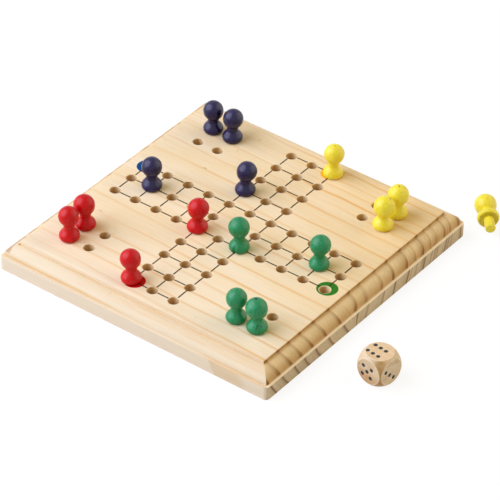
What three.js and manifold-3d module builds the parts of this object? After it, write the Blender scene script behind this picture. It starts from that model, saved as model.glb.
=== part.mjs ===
// Wooden peg ludo game: a moulded pine board with blind peg holes, sixteen turned pegs and a die.
// Millimetres, +Z up. The origin is the centre of the board's underside, which rests on the table.
// X runs along the grain of the board and Y across it.

import * as THREE from "three";
import { ConvexGeometry } from "three/addons/geometries/ConvexGeometry.js";
import { mergeGeometries, mergeVertices } from "three/addons/utils/BufferGeometryUtils.js";
import Module from "manifold-3d";

const wasm = await Module();
wasm.setup();

// Board
const pitch = 12.6; // between neighbouring holes of the track
const armHoles = 5; // holes from the centre to the end of an arm
const topMargin = 9.6; // from an arm's last hole to the edge of the playing face
const boardThickness = 15.2;
const stepDrop = 1.8; // upright step between the playing face and the moulding
const ovoloRadius = 5.7; // quarter round of the moulding
const ledgeWidth = 1.7; // flat ledge outside the quarter round
const plinthCornerRadius = 2.4; // upright corners of the plinth
const mitreRadius = 0.3; // softened mitre of the moulding
const footEase = 0.4; // bevel round the underside

// Corner yards of four holes
const yardInset = 22.6; // from the playing face's two nearest edges to a yard's centre
const yardGap = 1.7; // between the heads of two pegs in one yard

// Peg holes
const holeDiameter = 5.5;
const holeDepth = 8.4; // of the straight wall, above the drill point
const drillPointAngle = THREE.MathUtils.degToRad(118);

// Pegs
const fitClearance = 0.05; // between a peg's pin and the flats of its hole
const pinTipClearance = 1; // between a pin's tip and the foot of its hole's wall
const pinTaper = 0.2; // how much the pin's radius shrinks towards its tip
const pinChamfer = 0.6;
const footRadius = 4.2; // where the peg stands on the board
const skirtRadius = 5; // the skirt's widest ring
const skirtHeight = 1.7; // of the widest ring above the board
const skirtRise = 4.9; // from the widest ring up to the neck
const neckRadius = 2.6;
const neckLength = 1.45; // straight, between the skirt and the head
const headRadius = 5.15;
const dimpleRadius = 0.4; // mark of the lathe's centre, on top of the head
const dimpleDepth = 0.3;

// Die
const dieSide = 15.5;
const dieEdgeBand = 2.1; // how much narrower than the cube its round flats are
const pipDiameter = 1.7;
const pipDepth = 0.3;
const pipInset = 2.5; // from a face's centre to a corner pip, along both of its edges
const sixRowSpacing = 5.4; // between the two rows of the six
const sixPipSpacing = 3.3; // between neighbours in a row of the six
const threeInset = 2.65; // from the three's middle pip to the outer ones, along both edges
const sixMissX = 1.45; // how far each stamp fell short of the middle of its face
const sixMissY = 0.75;
const fiveMissX = 0.6;
const fiveMissY = 0.3;
const threeMissX = 1.45;
const threeMissY = 1;
const rimMargin = 0.4; // band along each face's rim that holds no point of the ball

// Places of the loose pieces on the table
const dieGap = 22.2; // from the board's side to the die
const dieAlong = 34; // along that side, from its middle towards the front
const dieTurn = THREE.MathUtils.degToRad(-7);
const loosePegGapX = 6.1; // from the board's right corner to the middle of the loose peg's foot
const loosePegGapY = 11;
const loosePegTurn = THREE.MathUtils.degToRad(131.5); // heading of its head

// How finely curves are cut
const holeSides = 12;
const pegSides = 16;
const cornerSteps = 3;
const ovoloSteps = 6;
const skirtSteps = 5;
const headSteps = 4; // to the head's widest ring, and again to its top
const dieRimSides = 32;
const ballDetail = 3; // subdivisions of the rounding between the die's faces
const pipSides = 10;

const overrun = 1; // how far a cutter stands out of what it cuts

// Sizes that follow
const topHalf = armHoles * pitch + topMargin;
const boardHalf = topHalf + ovoloRadius + ledgeWidth;
const yardOffset = topHalf - yardInset; // from the board's centre, along X and along Y
const ovoloTop = boardThickness - stepDrop;
const plinthTop = ovoloTop - ovoloRadius;
const holeRadius = holeDiameter / 2;
const pinRadius = holeRadius * Math.cos(Math.PI / holeSides) - fitClearance;
const pinLength = holeDepth - pinTipClearance;
const yardSpacing = 2 * Math.max(headRadius, skirtRadius) + yardGap;
const neckHeight = skirtHeight + skirtRise;
const headHeight = neckHeight + neckLength + Math.sqrt(headRadius ** 2 - neckRadius ** 2);
const dieFaceDiameter = dieSide - dieEdgeBand;

// Paints and bare woods
const paint = (color) => new THREE.MeshStandardMaterial({ color, roughness: 0.42, metalness: 0 });
const pine = new THREE.MeshStandardMaterial({ color: "#ecd5ae", roughness: 0.62, metalness: 0 });
const beech = new THREE.MeshStandardMaterial({ color: "#e0c196", roughness: 0.55, metalness: 0 });
const paints = {
  red: paint("#c41e2b"),
  blue: paint("#28245a"),
  green: paint("#237a55"),
  yellow: paint("#e4d637"),
};

// A geometry with its coinciding corners merged, and nothing kept but their places.
function welded(geometry) {
  const bare = geometry.clone();
  bare.deleteAttribute("normal");
  bare.deleteAttribute("uv");
  return mergeVertices(bare);
}

// A closed geometry as a solid that can be cut.
function solidOf(geometry) {
  const closed = welded(geometry);
  return new wasm.Manifold(
    new wasm.Mesh({
      numProp: 3,
      vertProperties: closed.attributes.position.array,
      triVerts: new Uint32Array(closed.index.array),
    }),
  );
}

function geometryOf(solid) {
  const { vertProperties, triVerts } = solid.getMesh();
  const geometry = new THREE.BufferGeometry();
  geometry.setAttribute("position", new THREE.BufferAttribute(vertProperties, 3));
  geometry.setIndex(new THREE.BufferAttribute(triVerts, 1));
  geometry.computeVertexNormals();
  return geometry;
}

// A turned shape about the Z axis, from [radius, height] points that run upwards.
function turned(points, sides) {
  const outline = points.map(([radius, height]) => new THREE.Vector2(radius, height));
  return new THREE.LatheGeometry(outline, sides, Math.PI / 2).rotateX(Math.PI / 2);
}

// One level of the board: a square with rounded corners, anticlockwise from above.
function squareRing(halfSide, cornerRadius, height) {
  const ring = [];
  for (let corner = 0; corner < 4; corner++) {
    const start = (corner * Math.PI) / 2;
    const centre = new THREE.Vector2(halfSide - cornerRadius, halfSide - cornerRadius)
      .rotateAround(new THREE.Vector2(), start);
    for (let step = 0; step <= cornerSteps; step++) {
      const angle = start + (step / cornerSteps) * (Math.PI / 2);
      ring.push([
        centre.x + cornerRadius * Math.cos(angle),
        centre.y + cornerRadius * Math.sin(angle),
        height,
      ]);
    }
  }
  return ring;
}

// A closed skin over rings of equally many points, from the lowest ring to the highest.
function skinned(rings) {
  const count = rings[0].length;
  const index = [];
  for (let level = 0; level + 1 < rings.length; level++) {
    for (let k = 0; k < count; k++) {
      const a = level * count + k;
      const b = level * count + ((k + 1) % count);
      index.push(a, b, b + count, a, b + count, a + count);
    }
  }
  const last = (rings.length - 1) * count;
  for (let k = 1; k + 1 < count; k++) {
    index.push(0, k + 1, k);
    index.push(last, last + k, last + k + 1);
  }
  const geometry = new THREE.BufferGeometry();
  geometry.setAttribute("position", new THREE.Float32BufferAttribute(rings.flat(2), 3));
  geometry.setIndex(index);
  return geometry;
}

// The board before drilling: plinth, ledge, quarter round, step and playing face.
function boardBlank() {
  const rings = [
    squareRing(boardHalf - footEase, plinthCornerRadius, 0),
    squareRing(boardHalf, plinthCornerRadius, footEase),
    squareRing(boardHalf, plinthCornerRadius, plinthTop),
  ];
  for (let step = 0; step <= ovoloSteps; step++) {
    const angle = (step / ovoloSteps) * (Math.PI / 2);
    const halfSide = topHalf + ovoloRadius * Math.cos(angle);
    rings.push(squareRing(halfSide, mitreRadius, plinthTop + ovoloRadius * Math.sin(angle)));
  }
  rings.push(squareRing(topHalf, mitreRadius, boardThickness));
  return skinned(rings);
}

// Centres of the track's holes: a cross of four arms, three holes wide, with a solid middle.
function trackHoles() {
  const holes = [];
  for (let i = -armHoles; i <= armHoles; i++) {
    for (let j = -armHoles; j <= armHoles; j++) {
      const onCross = Math.abs(i) <= 1 || Math.abs(j) <= 1;
      if (onCross && (i || j)) holes.push(trackPlace(i, j));
    }
  }
  return holes;
}

function yardHoles() {
  const sides = [-1, 1];
  const holes = [];
  for (const cornerX of sides) {
    for (const cornerY of sides) {
      for (const dx of sides) {
        for (const dy of sides) holes.push(yardPlace(cornerX, cornerY, dx, dy));
      }
    }
  }
  return holes;
}

// A place on the track, in pitches from the board's centre.
function trackPlace(i, j) {
  return [i * pitch, j * pitch];
}

// A place in a yard: which corner of the board, then which hole of its four.
function yardPlace(cornerX, cornerY, dx, dy) {
  return [
    cornerX * yardOffset + (dx * yardSpacing) / 2,
    cornerY * yardOffset + (dy * yardSpacing) / 2,
  ];
}

// A blind hole's cutter, with its drill point.
function holeCutter([x, y]) {
  const wallFoot = boardThickness - holeDepth;
  const pointDepth = holeRadius / Math.tan(drillPointAngle / 2);
  const outline = [
    [0, wallFoot - pointDepth],
    [holeRadius, wallFoot],
    [holeRadius, boardThickness + overrun],
    [0, boardThickness + overrun],
  ];
  return turned(outline, holeSides).translate(x, y, 0);
}

function boardGeometry() {
  const cutters = mergeGeometries([...trackHoles(), ...yardHoles()].map(holeCutter));
  return geometryOf(solidOf(boardBlank()).subtract(solidOf(cutters)));
}

// The skirt's bell curve, from its widest ring in to the neck.
function skirtCurve() {
  const reach = (neckHeight - skirtHeight) / 2;
  const curve = new THREE.CubicBezierCurve(
    new THREE.Vector2(skirtRadius, skirtHeight),
    new THREE.Vector2(skirtRadius, skirtHeight + reach),
    new THREE.Vector2(neckRadius, neckHeight - reach),
    new THREE.Vector2(neckRadius, neckHeight),
  );
  return curve.getPoints(skirtSteps).map((point) => [point.x, point.y]);
}

// The round head, from the neck over its widest ring to the dimple on top.
function headCurve() {
  const neckAngle = -Math.acos(neckRadius / headRadius);
  const topAngle = Math.acos(dimpleRadius / headRadius);
  const points = [];
  for (let step = 0; step <= headSteps; step++) {
    points.push(headPoint(neckAngle * (1 - step / headSteps)));
  }
  for (let step = 1; step <= headSteps; step++) {
    points.push(headPoint((topAngle * step) / headSteps));
  }
  points.push([0, headHeight + headRadius - dimpleDepth]);
  return points;
}

function headPoint(angle) {
  return [headRadius * Math.cos(angle), headHeight + headRadius * Math.sin(angle)];
}

// A peg with its foot at height zero, its head above and its pin below.
function pegGeometry() {
  const tipRadius = pinRadius - pinTaper;
  return turned(
    [
      [0, -pinLength],
      [tipRadius - pinChamfer, -pinLength],
      [tipRadius, pinChamfer - pinLength],
      [pinRadius, 0],
      [footRadius, 0],
      ...skirtCurve(),
      ...headCurve(),
    ],
    pegSides,
  );
}

// Pip places on the six faces, in the face's own two directions from its centre.
const middle = [[0, 0]];
const diagonal = (inset) => [[-inset, inset], [inset, -inset]];
const square = (inset) => [...diagonal(inset), [-inset, -inset], [inset, inset]];
const sixPips = [-1, 0, 1].flatMap((k) => [
  [k * sixPipSpacing, -sixRowSpacing / 2],
  [k * sixPipSpacing, sixRowSpacing / 2],
]);
const faces = [
  { pips: printed(sixPips, sixMissX, sixMissY), rotation: [0, 0, 0] },
  { pips: middle, rotation: [Math.PI, 0, 0] },
  {
    pips: printed([...middle, ...square(pipInset)], fiveMissX, fiveMissY),
    rotation: [Math.PI / 2, 0, 0],
  },
  { pips: diagonal(pipInset), rotation: [-Math.PI / 2, 0, 0] },
  {
    pips: printed([...middle, ...diagonal(threeInset)], threeMissX, threeMissY),
    rotation: [Math.PI / 2, 0, Math.PI / 2],
  },
  { pips: square(pipInset), rotation: [Math.PI / 2, 0, -Math.PI / 2] },
];

// Pips moved together, as a stamp that missed the middle of its face leaves them.
function printed(pips, missX, missY) {
  return pips.map(([x, y]) => [x - missX, y - missY]);
}

// One pip's cutter, pressed into the face that the rotation turns the top face to.
function pipCutter([x, y], rotation) {
  const outline = [
    [0, dieSide / 2 - pipDepth],
    [pipDiameter / 2, dieSide / 2 - pipDepth],
    [pipDiameter / 2, dieSide / 2 + overrun],
    [0, dieSide / 2 + overrun],
  ];
  return turned(outline, pipSides).translate(x, y, 0).applyMatrix4(faceTurn(rotation));
}

function faceTurn(rotation) {
  return new THREE.Matrix4().makeRotationFromEuler(new THREE.Euler(...rotation, "ZYX"));
}

// Points on the rim of the round flat that the rotation turns the top face to.
function rimPoints(rotation) {
  const points = [];
  for (let k = 0; k < dieRimSides; k++) {
    const angle = (k / dieRimSides) * 2 * Math.PI;
    const x = (dieFaceDiameter / 2) * Math.cos(angle);
    const y = (dieFaceDiameter / 2) * Math.sin(angle);
    points.push(new THREE.Vector3(x, y, dieSide / 2).applyMatrix4(faceTurn(rotation)));
  }
  return points;
}

// Points on the ball that rounds the cube, where it lies inside all six faces.
function ballPoints() {
  const ballRadius = Math.hypot(dieSide, dieFaceDiameter) / 2;
  const ball = welded(new THREE.IcosahedronGeometry(ballRadius, ballDetail));
  const places = ball.getAttribute("position");
  const points = [];
  for (let k = 0; k < places.count; k++) {
    const point = new THREE.Vector3().fromBufferAttribute(places, k);
    const reach = Math.max(...point.toArray().map(Math.abs));
    if (reach < dieSide / 2 - rimMargin) points.push(point);
  }
  return points;
}

// The die: a cube inside a ball, so that its faces are round, with shallow pips.
function dieGeometry() {
  const rims = faces.flatMap(({ rotation }) => rimPoints(rotation));
  const blank = new ConvexGeometry([...rims, ...ballPoints()]);
  const cutters = faces.flatMap(({ pips, rotation }) => pips.map((pip) => pipCutter(pip, rotation)));
  return geometryOf(solidOf(blank).subtract(solidOf(mergeGeometries(cutters))));
}

function namedMesh(name, geometry, material) {
  const mesh = new THREE.Mesh(geometry, material);
  mesh.name = name;
  return mesh;
}

// A peg lying on its side, so that its skirt and its head both touch the table.
function lyingPeg(mesh) {
  const lean = Math.asin((headRadius - skirtRadius) / (headHeight - skirtHeight));
  mesh.rotation.y = Math.PI / 2 - lean;
  mesh.position.z = skirtRadius * Math.cos(lean) - skirtHeight * Math.sin(lean);
  const place = new THREE.Group().add(mesh);
  place.position.set(boardHalf + loosePegGapX, boardHalf + loosePegGapY, 0);
  place.rotation.z = loosePegTurn;
  return place;
}

// Holes that the pegs of each colour stand in. The last yellow peg lies on the table.
const standing = {
  red: [
    trackPlace(-1, -1),
    trackPlace(-1, -armHoles),
    yardPlace(-1, -1, -1, 1),
    yardPlace(-1, -1, -1, -1),
  ],
  blue: [
    trackPlace(1 - armHoles, 0),
    trackPlace(-1, 2),
    yardPlace(-1, 1, -1, 1),
    yardPlace(-1, 1, 1, 1),
  ],
  green: [
    trackPlace(1, -1),
    trackPlace(armHoles - 1, 0),
    yardPlace(1, -1, -1, -1),
    yardPlace(1, -1, 1, -1),
  ],
  yellow: [trackPlace(1, armHoles), yardPlace(1, 1, 1, -1), yardPlace(1, 1, 1, 1)],
};

const game = new THREE.Group();
game.add(namedMesh("board", boardGeometry(), pine));

for (const [colour, places] of Object.entries(standing)) {
  places.forEach(([x, y], k) => {
    const peg = namedMesh(`${colour}_peg_${k + 1}`, pegGeometry(), paints[colour]);
    peg.position.set(x, y, boardThickness);
    game.add(peg);
  });
}
game.add(lyingPeg(namedMesh("yellow_peg_4", pegGeometry(), paints.yellow)));

const die = namedMesh("die", dieGeometry(), beech);
die.position.set(boardHalf + dieGap + dieSide / 2, -dieAlong, dieSide / 2);
die.rotation.z = dieTurn;
game.add(die);

export default game;
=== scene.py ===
# Looks of a wooden peg ludo game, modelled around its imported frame.
# Metres, +Z up. The origin is the centre of the board's underside, and X runs along its grain.

import math
from collections import namedtuple

import bmesh
import bpy
from mathutils import Euler, Matrix, Vector
from mathutils.geometry import delaunay_2d_cdt


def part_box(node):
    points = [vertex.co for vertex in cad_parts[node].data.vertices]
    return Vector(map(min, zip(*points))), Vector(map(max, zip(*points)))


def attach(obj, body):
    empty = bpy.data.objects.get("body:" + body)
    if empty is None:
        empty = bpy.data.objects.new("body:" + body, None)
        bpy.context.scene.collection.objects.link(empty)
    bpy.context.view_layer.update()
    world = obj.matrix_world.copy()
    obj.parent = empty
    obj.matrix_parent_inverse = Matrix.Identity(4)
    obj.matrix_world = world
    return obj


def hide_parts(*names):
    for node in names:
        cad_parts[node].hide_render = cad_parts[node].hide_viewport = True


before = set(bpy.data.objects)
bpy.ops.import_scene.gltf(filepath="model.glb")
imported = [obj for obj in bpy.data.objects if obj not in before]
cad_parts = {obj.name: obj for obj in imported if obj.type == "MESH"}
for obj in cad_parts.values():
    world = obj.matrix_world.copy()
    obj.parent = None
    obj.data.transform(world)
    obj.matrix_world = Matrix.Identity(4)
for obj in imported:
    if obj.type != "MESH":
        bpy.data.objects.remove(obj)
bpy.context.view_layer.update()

MM = 0.001

# Sizes of the board, in millimetres
BOARD_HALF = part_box("board")[1].x / MM
BOARD_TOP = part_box("board")[1].z / MM
PITCH = 12.6
ARM_HOLES = 5
TOP_MARGIN = 9.6
TOP_HALF = ARM_HOLES * PITCH + TOP_MARGIN
STEP_DROP = 1.8
OVOLO_RADIUS = 5.7
OVOLO_TOP = BOARD_TOP - STEP_DROP
PLINTH_TOP = OVOLO_TOP - OVOLO_RADIUS
PLINTH_CORNER = 2.4
MITRE_RADIUS = 0.25
STEP_LEAN = 0.3
FOOT_EASE = 0.4
ARRIS = 0.32  # rounding of the plinth's and the step's upper edges
YARD_OFFSET = 50
YARD_SPACING = 12

# Sizes of a hole
HOLE_RADIUS = 2.75
HOLE_DEPTH = 8.4
HOLE_POINT = 1.65
HOLE_CHAMFER = 0.2

# Sizes that all pegs share
PIN_RADIUS = 2.6
PIN_TAPER = 0.06
PIN_CHAMFER = 0.4
PIN_LENGTH = 7.4
PIN_GROOVE = 2.3  # up from the tip
PIN_GROOVE_DEPTH = 0.14
PIN_GROOVE_BELOW = 0.25
PIN_GROOVE_ABOVE = 0.15
FOOT_RADIUS = 3.8
SKIRT_HEIGHT = 1.9
SKIRT_TURN_IN = 0.5
SKIRT_TURN_UP = 0.7
SKIRT_FULLNESS = 0.78  # how far the curve keeps to the skirt, as a share of half its height
NECK_FULLNESS = 0.5
NECK_RADIUS = 2.75
NECK_HEIGHT = 6.35
HEAD_HEIGHT = 12.4955
HEAD_DROOP = 1.06  # its lower half is a little longer than round
LOOSE_GAP = (6.1, 11)  # past the board's corner, along X and Y
LOOSE_TURN = math.radians(131.5)

# Sizes of the die
DIE_SIDE = 15.5
DIE_FACE = 13.4
DIE_TURN = math.radians(-7)
DIE_ARRIS = 0.04
PIP_RADIUS = 1.02
PIP_DEPTH = 0.3
PIP_LEVEL_SHARES = (0.85, 0.55)
PIP_INSET = 2.5
SIX_ROW_SPACING = 5.35
SIX_PIP_SPACING = 3.25
THREE_INSET = 2.65
SIX_MISS = (1.24, 0.68)
FIVE_MISS = (0.6, 0.3)
FIVE_TURN = math.radians(-5)
THREE_MISS = (1.45, 1)

# How finely curves are cut
CORNER_STEPS = 6
ARRIS_STEPS = 4
OVOLO_STEPS = 20
HOLE_SIDES = 40
PEG_SIDES = 96
FOOT_STEPS = 6
SKIRT_STEPS = 14
HEAD_STEPS = 40
DIE_SIDE_STEPS = 24
DIE_CORNER_STEPS = 12
PIP_SIDES = 28
SMOOTH_ANGLE = 32  # sharper edges than this stay sharp
PEG_SMOOTH_ANGLE = 40
DIE_SMOOTH_ANGLE = 60
WELD_DISTANCE = 0.01


def arc(centre, radius, start, end, steps):
    """Points of an arc in a profile, from angle start to angle end, in degrees."""
    points = []
    for step in range(steps + 1):
        angle = math.radians(start + (end - start) * step / steps)
        points.append((centre[0] + radius * math.cos(angle), centre[1] + radius * math.sin(angle)))
    return points


def mesh_object(name, vertices, faces, materials, smooth_angle=SMOOTH_ANGLE):
    """A mesh object from corners in millimetres, with edges sharper than an angle kept sharp."""
    mesh = bpy.data.meshes.new(name)
    mesh.from_pydata([Vector(corner) * MM for corner in vertices], [], faces)
    for material in materials:
        mesh.materials.append(material)
    mesh.shade_smooth()
    mesh.set_sharp_from_angle(angle=math.radians(smooth_angle))
    made = bpy.data.objects.new(name, mesh)
    bpy.context.scene.collection.objects.link(made)
    return made


def circle(x, y, radius, height, sides):
    return [(x + px, y + py, height) for px, py in arc((0, 0), radius, 0, 360, sides)[:-1]]


def strip(lower, upper):
    """Faces between two closed rings of corner numbers, which face out of the upper one's left."""
    count = len(lower)
    return [
        (lower[k], lower[(k + 1) % count], upper[(k + 1) % count], upper[k]) for k in range(count)
    ]


def fan(ring, tip):
    """Faces from a closed ring of corner numbers to one more corner."""
    return [(ring[k], ring[(k + 1) % len(ring)], tip) for k in range(len(ring))]


def add_ring(points, ring):
    """Adds a ring to a list of points and gives the ring's corner numbers."""
    points.extend(ring)
    return list(range(len(points) - len(ring), len(points)))


def cap(points, rings):
    """Faces that fill the first ring and leave the others open, seen from +Z."""
    numbers = [number for ring in rings for number in ring]
    where = {number: k for k, number in enumerate(numbers)}
    outlines = [[where[number] for number in ring] for ring in rings]
    flat = [Vector(points[number][:2]) for number in numbers]
    inside_with_holes = 2
    tolerance = 1e-6
    result = delaunay_2d_cdt(flat, [], outlines, inside_with_holes, tolerance)
    return [tuple(numbers[result[3][k][0]] for k in face) for face in result[2]]


# A small way of writing node materials as sums


def linear(hex_colour):
    """A screen colour such as "f4ddbb" as the linear one that shaders take, by sRGB's own curve."""
    parts = [int(hex_colour[k : k + 2], 16) / 255 for k in (0, 2, 4)]
    curved = [part / 12.92 if part <= 0.04045 else ((part + 0.055) / 1.055) ** 2.4 for part in parts]
    return (*curved, 1.0)


def darker(colour, factor):
    """A plain colour times a factor."""
    return tuple(part * factor for part in colour)


class Value:
    """A number, colour or vector in a node tree. Numbers take part in sums like plain ones."""

    def __init__(self, tree, socket):
        self.tree = tree
        self.socket = socket

    def __add__(self, other):
        return calculate("ADD", self, other)

    def __sub__(self, other):
        return calculate("SUBTRACT", self, other)

    def __rsub__(self, other):
        return calculate("SUBTRACT", other, self)

    def __mul__(self, other):
        return calculate("MULTIPLY", self, other)

    def __truediv__(self, other):
        return calculate("DIVIDE", self, other)

    def __abs__(self):
        return calculate("ABSOLUTE", self)

    __radd__ = __add__
    __rmul__ = __mul__


def fill(socket, given):
    """Links a value to a node's input, or sets the input to a plain number or colour."""
    if isinstance(given, Value):
        given.tree.links.new(given.socket, socket)
    else:
        socket.default_value = given


def node(tree, kind, inputs=None, output=0, **settings):
    """One output of a new node. Its inputs and the output are told by name or number."""
    made = tree.nodes.new("ShaderNode" + kind)
    for name, setting in settings.items():
        setattr(made, name, setting)
    for key, given in (inputs or {}).items():
        fill(made.inputs[key], given)
    return Value(tree, made.outputs[output])


def calculate(operation, *numbers):
    tree = next(number.tree for number in numbers if isinstance(number, Value))
    return node(tree, "Math", dict(enumerate(numbers)), operation=operation)


def fract(value):
    return calculate("FRACT", value)


def most(first, *others):
    for other in others:
        first = calculate("MAXIMUM", first, other)
    return first


def rise(value, start, end):
    """0 up to start and 1 from end on, with a smooth rise between. It falls if end is lower."""
    numbers = dict(enumerate((value, start, end, 0.0, 1.0)))
    return node(value.tree, "MapRange", numbers, interpolation_type="SMOOTHSTEP")


def between(factor, first, second):
    """From the first number to the second."""
    return first + (second - first) * factor


def mix(factor, first, second):
    """From the first colour to the second."""
    inputs = {"Factor": factor, 6: first, 7: second}
    return node(factor.tree, "Mix", inputs, 2, data_type="RGBA")


def shade(colour, factor):
    """A colour or vector made lighter or longer by a factor."""
    return node(colour.tree, "VectorMath", {0: colour, "Scale": factor}, operation="SCALE")


def vector(x, y, z):
    return node(x.tree, "CombineXYZ", {0: x, 1: y, 2: z})


def axes(given):
    first = node(given.tree, "SeparateXYZ", {0: given})
    return [Value(given.tree, socket) for socket in first.socket.node.outputs]


def length(given):
    return node(given.tree, "VectorMath", {0: given}, "Value", operation="LENGTH")


def noise(x, y, z, detail, roughness=0.5):
    place = vector(x, y, z)
    inputs = {"Vector": place, "Scale": 1.0, "Detail": detail, "Roughness": roughness}
    return node(place.tree, "TexNoise", inputs)


def ramp(value, stops):
    """A colour that runs straight from stop to stop, each a place and a colour."""
    made = node(value.tree, "ValToRGB", {0: value})
    elements = made.socket.node.color_ramp.elements
    elements[0].position, elements[1].position = stops[0][0], stops[-1][0]
    elements[0].color, elements[1].color = stops[0][1], stops[-1][1]
    for place, colour in stops[1:-1]:
        elements.new(place).color = colour
    return made


class Shader:
    """A node material while it is being put together."""

    def __init__(self, name):
        self.material = bpy.data.materials.new(name)
        self.material.use_nodes = True
        self.tree = self.material.node_tree
        self.surface = self.tree.nodes["Principled BSDF"]

    def place(self):
        """The shaded point in the object's own millimetres, as x, y and z."""
        return axes(shade(node(self.tree, "TexCoord", output="Object"), 1 / MM))

    def facing(self):
        """The surface's direction in the object's own axes, as x, y and z."""
        return axes(node(self.tree, "TexCoord", output="Normal"))

    def painted(self, attribute):
        """A vector that the mesh carries at its points."""
        return node(self.tree, "Attribute", output="Vector", attribute_name=attribute)

    def finish(self, colour, roughness, height=None, depth=0, shine=0.5):
        """Sets the surface, with a bump of a height map that is depth millimetres deep."""
        inputs = self.surface.inputs
        fill(inputs["Base Color"], colour)
        fill(inputs["Roughness"], roughness)
        fill(inputs["Specular IOR Level"], shine)
        if height is not None:
            bump = node(self.tree, "Bump", {"Distance": depth * MM, "Height": height})
            fill(inputs["Normal"], bump)
        return self.material


# The board's mesh


def square_ring(half, corner, height):
    """A square with rounded corners, anticlockwise from above."""
    ring = []
    for quarter in range(4):
        start = 90 * quarter
        turn = Matrix.Rotation(math.radians(start), 2)
        centre = turn @ Vector((half - corner, half - corner))
        ring += [(x, y, height) for x, y in arc(centre, corner, start, start + 90, CORNER_STEPS)]
    return ring


def board_profile():
    """Half side, corner radius and height of each level, from the underside to the playing face."""
    levels = [
        (BOARD_HALF - FOOT_EASE, PLINTH_CORNER - FOOT_EASE, 0),
        (BOARD_HALF, PLINTH_CORNER, FOOT_EASE),
    ]
    plinth_edge = arc((BOARD_HALF - ARRIS, PLINTH_TOP - ARRIS), ARRIS, 0, 90, ARRIS_STEPS)
    levels += [(half, PLINTH_CORNER - (BOARD_HALF - half), z) for half, z in plinth_edge]
    ovolo = arc((TOP_HALF, PLINTH_TOP), OVOLO_RADIUS, 0, 90, OVOLO_STEPS)
    levels += [(half, MITRE_RADIUS, z) for half, z in ovolo]
    top_edge = arc((TOP_HALF - STEP_LEAN - ARRIS, BOARD_TOP - ARRIS), ARRIS, 0, 90, ARRIS_STEPS)
    levels += [(half, MITRE_RADIUS + ARRIS, z) for half, z in top_edge]
    return levels


def track_holes():
    arm = range(-ARM_HOLES, ARM_HOLES + 1)
    cross = [(i, j) for i in arm for j in arm if (abs(i) <= 1 or abs(j) <= 1) and (i or j)]
    return [(i * PITCH, j * PITCH) for i, j in cross]


def yard_holes():
    ends = (-1, 1)
    corners = [(a, b) for a in ends for b in ends]
    return [
        (a * YARD_OFFSET + c * YARD_SPACING / 2, b * YARD_OFFSET + d * YARD_SPACING / 2)
        for a, b in corners
        for c, d in corners
    ]


def build_board(pine, bore):
    vertices = []
    faces = []
    levels = [add_ring(vertices, square_ring(*level)) for level in board_profile()]
    faces.append(tuple(reversed(levels[0])))
    for lower, upper in zip(levels, levels[1:]):
        faces.extend(strip(lower, upper))

    rims = []
    walls = []
    for x, y in track_holes() + yard_holes():
        rim = add_ring(vertices, circle(x, y, HOLE_RADIUS + HOLE_CHAMFER, BOARD_TOP, HOLE_SIDES))
        mouth = add_ring(vertices, circle(x, y, HOLE_RADIUS, BOARD_TOP - HOLE_CHAMFER, HOLE_SIDES))
        foot = add_ring(vertices, circle(x, y, HOLE_RADIUS, BOARD_TOP - HOLE_DEPTH, HOLE_SIDES))
        point = add_ring(vertices, [(x, y, BOARD_TOP - HOLE_DEPTH - HOLE_POINT)])[0]
        faces.extend(strip(rim, mouth))
        walls.extend(strip(mouth, foot) + fan(foot, point))
        rims.append(rim)
    faces.extend(cap(vertices, [levels[-1]] + rims))
    board = mesh_object("board_wood", vertices, faces + walls, [pine, bore])
    for face in board.data.polygons[len(faces) :]:
        face.material_index = 1
    return board


# Pine of the board

# Growth lines where they meet the playing face's right edge: place along Y in millimetres,
# strength, and share of the ring that the dark late wood takes
GROWTH_LINES = [
    (-92, 0.5, 0.3),
    (-86, 0.55, 0.3),
    (-79.5, 0.9, 0.3),
    (-70.8, 0.7, 0.3),
    (-62, 0.8, 0.25),
    (-54.3, 0.7, 0.3),
    (-45.1, 0.8, 0.25),
    (-34.8, 0.75, 0.22),
    (-22.8, 0.8, 0.22),
    (-15, 0.12, 0.2),
    (-5.8, 0.8, 0.35),
    (2, 0.45, 0.3),
    (14.6, 0.55, 0.2),
    (24.6, 0.9, 0.22),
    (35.5, 0.85, 0.25),
    (42, 0.4, 0.3),
    (48.8, 0.95, 0.35),
    (54.5, 0.5, 0.3),
    (59.6, 0.5, 0.3),
    (67, 0.8, 0.3),
    (71, 0.5, 0.3),
    (77, 0.7, 0.3),
    (84, 0.5, 0.3),
    (92, 0.5, 0.3),
]
GROWTH_REACH = 92
GRAIN_SLOPE = 0.03
FRONT_LEAN = 0.31  # of the growth lines going down, in front of the pith's line
FRONT_CURL = 0.0148
REAR_LEAN = -0.28
GROWTH_DRIFT = 3.6  # how far the lines wander, slowly and in ripples
GROWTH_RIPPLE = 1.4
PITH_LINE = -11

EARLY_WOOD = linear("f3dbb4")
PALE_WOOD = linear("f5e2c6")
WARM_WOOD = linear("eacb98")
LATE_WOOD = linear("e5b068")
FRONT_WOOD = linear("e8d6ba")
PLINTH_WOOD = linear("e0cfb6")
PATCH_WOOD = linear("d8c1a0")
ARRIS_WOOD = linear("dfac62")
END_OVOLO_WOOD = linear("e8cc9c")
END_OVOLO_LATE_WOOD = linear("a0682a")
END_PLINTH_WOOD = linear("d1bda0")
END_PLINTH_LATE_WOOD = linear("825a32")
END_LEDGE_WOOD = linear("fde8c6")
# Partly burn marks, partly painted shade in the step and at the ovolo's foot of the board's ends
BURN_AND_SHADE_WOOD = linear("b07630")
BURN_AND_SHADE_LATE_WOOD = linear("7c4610")
EDGE_HIGHLIGHT_WOOD = linear("fbeedb")
WORN_EDGE_WOOD = linear("ae7c42")
CHIPPED_WOOD = linear("bc8444")
FLECK_WOOD = linear("9a6a3c")
BORE_WOOD = linear("f3dcae")
CROSSED_BORE_WOOD = linear("dcb480")
INK = linear("38260a")
GREEN_INK = linear("2c761f")
RED_INK = linear("c00410")
BLUE_INK = linear("004179")
ORANGE_INK = linear("f4b600")
PINE_SHINE = 0.1

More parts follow.
